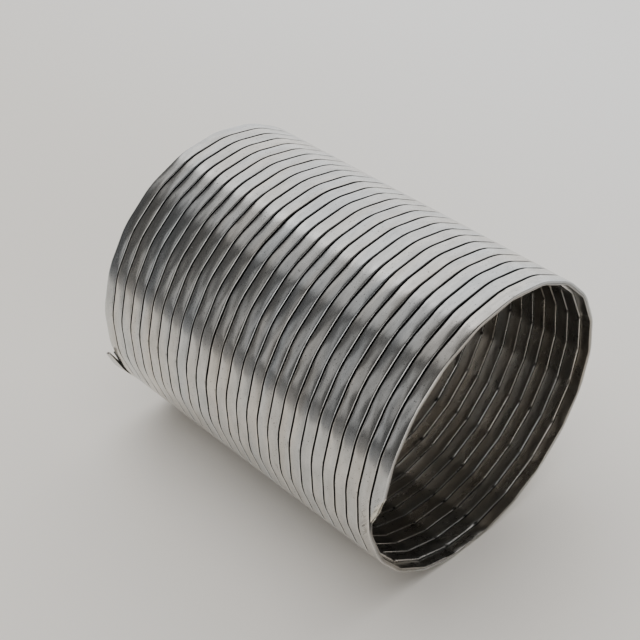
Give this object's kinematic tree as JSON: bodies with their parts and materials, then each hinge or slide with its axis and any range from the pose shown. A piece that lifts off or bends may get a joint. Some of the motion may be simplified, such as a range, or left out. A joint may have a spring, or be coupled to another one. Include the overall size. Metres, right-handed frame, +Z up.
{
  "type": "interlocked metal hose",
  "caption": "Strip-wound interlocked steel hose of polygonal section, open at both ends, that stretches and bends as its hooked turns slide and tilt.",
  "frame": {"origin": "on the surface that the hose lies on, below the middle of its box", "axes": "+X along the bore towards the front mouth, +Z up, +Y to the left when facing along +X"},
  "size_m": [0.1654, 0.1318, 0.1311],
  "materials": {
    "strip": "cold-rolled bright, lightly stained"
  },
  "bodies": {
    "turn_01_start": {"turn_01_start": "strip"},
    "turn_02_right": {"turn_02_right": "strip"},
    "turn_02_left": {"turn_02_left": "strip"},
    "turn_03_right": {"turn_03_right": "strip"},
    "turn_03_left": {"turn_03_left": "strip"},
    "turn_04_right": {"turn_04_right": "strip"},
    "turn_04_left": {"turn_04_left": "strip"},
    "turn_05_right": {"turn_05_right": "strip"},
    "turn_05_left": {"turn_05_left": "strip"},
    "turn_06_right": {"turn_06_right": "strip"},
    "turn_06_left": {"turn_06_left": "strip"},
    "turn_07_right": {"turn_07_right": "strip"},
    "turn_07_left": {"turn_07_left": "strip"},
    "turn_08_right": {"turn_08_right": "strip"},
    "turn_08_left": {"turn_08_left": "strip"},
    "turn_09_right": {"turn_09_right": "strip"},
    "turn_09_left": {"turn_09_left": "strip"},
    "turn_10_right": {"turn_10_right": "strip"},
    "turn_10_left": {"turn_10_left": "strip"},
    "turn_11_right": {"turn_11_right": "strip"},
    "turn_11_left": {"turn_11_left": "strip"},
    "turn_12_right": {"turn_12_right": "strip"},
    "turn_12_left": {"turn_12_left": "strip"},
    "turn_13_right": {"turn_13_right": "strip"},
    "turn_13_left": {"turn_13_left": "strip"},
    "turn_14_right": {"turn_14_right": "strip"},
    "turn_14_left": {"turn_14_left": "strip"},
    "turn_15_right": {"turn_15_right": "strip"},
    "turn_15_left": {"turn_15_left": "strip"},
    "turn_16_right": {"turn_16_right": "strip"},
    "turn_16_left": {"turn_16_left": "strip"},
    "turn_17_right": {"turn_17_right": "strip"},
    "turn_17_left": {"turn_17_left": "strip"},
    "turn_18_right": {"turn_18_right": "strip"},
    "turn_18_left": {"turn_18_left": "strip"},
    "turn_19_right": {"turn_19_right": "strip"},
    "turn_19_left": {"turn_19_left": "strip"},
    "turn_20_right": {"turn_20_right": "strip"},
    "turn_20_left": {"turn_20_left": "strip"},
    "turn_21_right": {"turn_21_right": "strip"},
    "turn_21_left": {"turn_21_left": "strip"},
    "turn_22_right": {"turn_22_right": "strip"},
    "turn_22_left": {"turn_22_left": "strip"},
    "turn_23_right": {"turn_23_right": "strip"},
    "turn_23_left": {"turn_23_left": "strip"},
    "turn_24_right": {"turn_24_right": "strip"},
    "turn_24_left": {"turn_24_left": "strip"},
    "turn_25_right": {"turn_25_right": "strip"},
    "turn_25_left": {"turn_25_left": "strip"},
    "turn_26_right": {"turn_26_right": "strip"},
    "turn_26_left": {"turn_26_left": "strip"},
    "turn_27_right": {"turn_27_right": "strip"},
    "turn_27_end": {"turn_27_end": "strip"}
  },
  "joints": [
    {"name": "stretch_02", "type": "slide", "parent": "turn_01_start", "child": "turn_02_right", "axis": [1, 0, 0], "range_m": [-0.00025, 0.00105]},
    {"name": "bend_02", "type": "hinge", "parent": "turn_02_right", "child": "turn_02_left", "pos_m": [-0.07303, 0, 0.0652], "axis": [0, 0, 1], "range_deg": [-0.347, 0.347]},
    {"name": "stretch_03", "type": "slide", "parent": "turn_02_left", "child": "turn_03_right", "axis": [1, 0, 0], "range_m": [-0.00025, 0.00105]},
    {"name": "bend_03", "type": "hinge", "parent": "turn_03_right", "child": "turn_03_left", "pos_m": [-0.06708, 0, 0.0652], "axis": [0, 0, 1], "range_deg": [-0.347, 0.347]},
    {"name": "stretch_04", "type": "slide", "parent": "turn_03_left", "child": "turn_04_right", "axis": [1, 0, 0], "range_m": [-0.00025, 0.00105]},
    {"name": "bend_04", "type": "hinge", "parent": "turn_04_right", "child": "turn_04_left", "pos_m": [-0.06113, 0, 0.0652], "axis": [0, 0, 1], "range_deg": [-0.347, 0.347]},
    {"name": "stretch_05", "type": "slide", "parent": "turn_04_left", "child": "turn_05_right", "axis": [1, 0, 0], "range_m": [-0.00025, 0.00105]},
    {"name": "bend_05", "type": "hinge", "parent": "turn_05_right", "child": "turn_05_left", "pos_m": [-0.05518, 0, 0.0652], "axis": [0, 0, 1], "range_deg": [-0.347, 0.347]},
    {"name": "stretch_06", "type": "slide", "parent": "turn_05_left", "child": "turn_06_right", "axis": [1, 0, 0], "range_m": [-0.00025, 0.00105]},
    {"name": "bend_06", "type": "hinge", "parent": "turn_06_right", "child": "turn_06_left", "pos_m": [-0.04923, 0, 0.0652], "axis": [0, 0, 1], "range_deg": [-0.347, 0.347]},
    {"name": "stretch_07", "type": "slide", "parent": "turn_06_left", "child": "turn_07_right", "axis": [1, 0, 0], "range_m": [-0.00025, 0.00105]},
    {"name": "bend_07", "type": "hinge", "parent": "turn_07_right", "child": "turn_07_left", "pos_m": [-0.04328, 0, 0.0652], "axis": [0, 0, 1], "range_deg": [-0.347, 0.347]},
    {"name": "stretch_08", "type": "slide", "parent": "turn_07_left", "child": "turn_08_right", "axis": [1, 0, 0], "range_m": [-0.00025, 0.00105]},
    {"name": "bend_08", "type": "hinge", "parent": "turn_08_right", "child": "turn_08_left", "pos_m": [-0.03733, 0, 0.0652], "axis": [0, 0, 1], "range_deg": [-0.347, 0.347]},
    {"name": "stretch_09", "type": "slide", "parent": "turn_08_left", "child": "turn_09_right", "axis": [1, 0, 0], "range_m": [-0.00025, 0.00105]},
    {"name": "bend_09", "type": "hinge", "parent": "turn_09_right", "child": "turn_09_left", "pos_m": [-0.03138, 0, 0.0652], "axis": [0, 0, 1], "range_deg": [-0.347, 0.347]},
    {"name": "stretch_10", "type": "slide", "parent": "turn_09_left", "child": "turn_10_right", "axis": [1, 0, 0], "range_m": [-0.00025, 0.00105]},
    {"name": "bend_10", "type": "hinge", "parent": "turn_10_right", "child": "turn_10_left", "pos_m": [-0.02543, 0, 0.0652], "axis": [0, 0, 1], "range_deg": [-0.347, 0.347]},
    {"name": "stretch_11", "type": "slide", "parent": "turn_10_left", "child": "turn_11_right", "axis": [1, 0, 0], "range_m": [-0.00025, 0.00105]},
    {"name": "bend_11", "type": "hinge", "parent": "turn_11_right", "child": "turn_11_left", "pos_m": [-0.01948, 0, 0.0652], "axis": [0, 0, 1], "range_deg": [-0.347, 0.347]},
    {"name": "stretch_12", "type": "slide", "parent": "turn_11_left", "child": "turn_12_right", "axis": [1, 0, 0], "range_m": [-0.00025, 0.00105]},
    {"name": "bend_12", "type": "hinge", "parent": "turn_12_right", "child": "turn_12_left", "pos_m": [-0.01353, 0, 0.0652], "axis": [0, 0, 1], "range_deg": [-0.347, 0.347]},
    {"name": "stretch_13", "type": "slide", "parent": "turn_12_left", "child": "turn_13_right", "axis": [1, 0, 0], "range_m": [-0.00025, 0.00105]},
    {"name": "bend_13", "type": "hinge", "parent": "turn_13_right", "child": "turn_13_left", "pos_m": [-0.00758, 0, 0.0652], "axis": [0, 0, 1], "range_deg": [-0.347, 0.347]},
    {"name": "stretch_14", "type": "slide", "parent": "turn_13_left", "child": "turn_14_right", "axis": [1, 0, 0], "range_m": [-0.00025, 0.00105]},
    {"name": "bend_14", "type": "hinge", "parent": "turn_14_right", "child": "turn_14_left", "pos_m": [-0.00163, 0, 0.0652], "axis": [0, 0, 1], "range_deg": [-0.347, 0.347]},
    {"name": "stretch_15", "type": "slide", "parent": "turn_14_left", "child": "turn_15_right", "axis": [1, 0, 0], "range_m": [-0.00025, 0.00105]},
    {"name": "bend_15", "type": "hinge", "parent": "turn_15_right", "child": "turn_15_left", "pos_m": [0.00432, 0, 0.0652], "axis": [0, 0, 1], "range_deg": [-0.347, 0.347]},
    {"name": "stretch_16", "type": "slide", "parent": "turn_15_left", "child": "turn_16_right", "axis": [1, 0, 0], "range_m": [-0.00025, 0.00105]},
    {"name": "bend_16", "type": "hinge", "parent": "turn_16_right", "child": "turn_16_left", "pos_m": [0.01027, 0, 0.0652], "axis": [0, 0, 1], "range_deg": [-0.347, 0.347]},
    {"name": "stretch_17", "type": "slide", "parent": "turn_16_left", "child": "turn_17_right", "axis": [1, 0, 0], "range_m": [-0.00025, 0.00105]},
    {"name": "bend_17", "type": "hinge", "parent": "turn_17_right", "child": "turn_17_left", "pos_m": [0.01622, 0, 0.0652], "axis": [0, 0, 1], "range_deg": [-0.347, 0.347]},
    {"name": "stretch_18", "type": "slide", "parent": "turn_17_left", "child": "turn_18_right", "axis": [1, 0, 0], "range_m": [-0.00025, 0.00105]},
    {"name": "bend_18", "type": "hinge", "parent": "turn_18_right", "child": "turn_18_left", "pos_m": [0.02217, 0, 0.0652], "axis": [0, 0, 1], "range_deg": [-0.347, 0.347]},
    {"name": "stretch_19", "type": "slide", "parent": "turn_18_left", "child": "turn_19_right", "axis": [1, 0, 0], "range_m": [-0.00025, 0.00105]},
    {"name": "bend_19", "type": "hinge", "parent": "turn_19_right", "child": "turn_19_left", "pos_m": [0.02812, 0, 0.0652], "axis": [0, 0, 1], "range_deg": [-0.347, 0.347]},
    {"name": "stretch_20", "type": "slide", "parent": "turn_19_left", "child": "turn_20_right", "axis": [1, 0, 0], "range_m": [-0.00025, 0.00105]},
    {"name": "bend_20", "type": "hinge", "parent": "turn_20_right", "child": "turn_20_left", "pos_m": [0.03407, 0, 0.0652], "axis": [0, 0, 1], "range_deg": [-0.347, 0.347]},
    {"name": "stretch_21", "type": "slide", "parent": "turn_20_left", "child": "turn_21_right", "axis": [1, 0, 0], "range_m": [-0.00025, 0.00105]},
    {"name": "bend_21", "type": "hinge", "parent": "turn_21_right", "child": "turn_21_left", "pos_m": [0.04002, 0, 0.0652], "axis": [0, 0, 1], "range_deg": [-0.347, 0.347]},
    {"name": "stretch_22", "type": "slide", "parent": "turn_21_left", "child": "turn_22_right", "axis": [1, 0, 0], "range_m": [-0.00025, 0.00105]},
    {"name": "bend_22", "type": "hinge", "parent": "turn_22_right", "child": "turn_22_left", "pos_m": [0.04597, 0, 0.0652], "axis": [0, 0, 1], "range_deg": [-0.347, 0.347]},
    {"name": "stretch_23", "type": "slide", "parent": "turn_22_left", "child": "turn_23_right", "axis": [1, 0, 0], "range_m": [-0.00025, 0.00105]},
    {"name": "bend_23", "type": "hinge", "parent": "turn_23_right", "child": "turn_23_left", "pos_m": [0.05192, 0, 0.0652], "axis": [0, 0, 1], "range_deg": [-0.347, 0.347]},
    {"name": "stretch_24", "type": "slide", "parent": "turn_23_left", "child": "turn_24_right", "axis": [1, 0, 0], "range_m": [-0.00025, 0.00105]},
    {"name": "bend_24", "type": "hinge", "parent": "turn_24_right", "child": "turn_24_left", "pos_m": [0.05787, 0, 0.0652], "axis": [0, 0, 1], "range_deg": [-0.347, 0.347]},
    {"name": "stretch_25", "type": "slide", "parent": "turn_24_left", "child": "turn_25_right", "axis": [1, 0, 0], "range_m": [-0.00025, 0.00105]},
    {"name": "bend_25", "type": "hinge", "parent": "turn_25_right", "child": "turn_25_left", "pos_m": [0.06382, 0, 0.0652], "axis": [0, 0, 1], "range_deg": [-0.347, 0.347]},
    {"name": "stretch_26", "type": "slide", "parent": "turn_25_left", "child": "turn_26_right", "axis": [1, 0, 0], "range_m": [-0.00025, 0.00105]},
    {"name": "bend_26", "type": "hinge", "parent": "turn_26_right", "child": "turn_26_left", "pos_m": [0.06977, 0, 0.0652], "axis": [0, 0, 1], "range_deg": [-0.347, 0.347]},
    {"name": "stretch_27", "type": "slide", "parent": "turn_26_left", "child": "turn_27_right", "axis": [1, 0, 0], "range_m": [-0.00025, 0.00105]},
    {"name": "bend_27", "type": "hinge", "parent": "turn_27_right", "child": "turn_27_end", "pos_m": [0.07572, 0, 0.0652], "axis": [0, 0, 1], "range_deg": [-0.347, 0.347]}
  ],
  "couplings": [
    {"joint": "stretch_03", "follows": "stretch_02", "ratio": 1},
    {"joint": "bend_03", "follows": "bend_02", "ratio": 1},
    {"joint": "stretch_04", "follows": "stretch_02", "ratio": 1},
    {"joint": "bend_04", "follows": "bend_02", "ratio": 1},
    {"joint": "stretch_05", "follows": "stretch_02", "ratio": 1},
    {"joint": "bend_05", "follows": "bend_02", "ratio": 1},
    {"joint": "stretch_06", "follows": "stretch_02", "ratio": 1},
    {"joint": "bend_06", "follows": "bend_02", "ratio": 1},
    {"joint": "stretch_07", "follows": "stretch_02", "ratio": 1},
    {"joint": "bend_07", "follows": "bend_02", "ratio": 1},
    {"joint": "stretch_08", "follows": "stretch_02", "ratio": 1},
    {"joint": "bend_08", "follows": "bend_02", "ratio": 1},
    {"joint": "stretch_09", "follows": "stretch_02", "ratio": 1},
    {"joint": "bend_09", "follows": "bend_02", "ratio": 1},
    {"joint": "stretch_10", "follows": "stretch_02", "ratio": 1},
    {"joint": "bend_10", "follows": "bend_02", "ratio": 1},
    {"joint": "stretch_11", "follows": "stretch_02", "ratio": 1},
    {"joint": "bend_11", "follows": "bend_02", "ratio": 1},
    {"joint": "stretch_12", "follows": "stretch_02", "ratio": 1},
    {"joint": "bend_12", "follows": "bend_02", "ratio": 1},
    {"joint": "stretch_13", "follows": "stretch_02", "ratio": 1},
    {"joint": "bend_13", "follows": "bend_02", "ratio": 1},
    {"joint": "stretch_14", "follows": "stretch_02", "ratio": 1},
    {"joint": "bend_14", "follows": "bend_02", "ratio": 1},
    {"joint": "stretch_15", "follows": "stretch_02", "ratio": 1},
    {"joint": "bend_15", "follows": "bend_02", "ratio": 1},
    {"joint": "stretch_16", "follows": "stretch_02", "ratio": 1},
    {"joint": "bend_16", "follows": "bend_02", "ratio": 1},
    {"joint": "stretch_17", "follows": "stretch_02", "ratio": 1},
    {"joint": "bend_17", "follows": "bend_02", "ratio": 1},
    {"joint": "stretch_18", "follows": "stretch_02", "ratio": 1},
    {"joint": "bend_18", "follows": "bend_02", "ratio": 1},
    {"joint": "stretch_19", "follows": "stretch_02", "ratio": 1},
    {"joint": "bend_19", "follows": "bend_02", "ratio": 1},
    {"joint": "stretch_20", "follows": "stretch_02", "ratio": 1},
    {"joint": "bend_20", "follows": "bend_02", "ratio": 1},
    {"joint": "stretch_21", "follows": "stretch_02", "ratio": 1},
    {"joint": "bend_21", "follows": "bend_02", "ratio": 1},
    {"joint": "stretch_22", "follows": "stretch_02", "ratio": 1},
    {"joint": "bend_22", "follows": "bend_02", "ratio": 1},
    {"joint": "stretch_23", "follows": "stretch_02", "ratio": 1},
    {"joint": "bend_23", "follows": "bend_02", "ratio": 1},
    {"joint": "stretch_24", "follows": "stretch_02", "ratio": 1},
    {"joint": "bend_24", "follows": "bend_02", "ratio": 1},
    {"joint": "stretch_25", "follows": "stretch_02", "ratio": 1},
    {"joint": "bend_25", "follows": "bend_02", "ratio": 1},
    {"joint": "stretch_26", "follows": "stretch_02", "ratio": 1},
    {"joint": "bend_26", "follows": "bend_02", "ratio": 1},
    {"joint": "stretch_27", "follows": "stretch_02", "ratio": 1},
    {"joint": "bend_27", "follows": "bend_02", "ratio": 1}
  ]
}
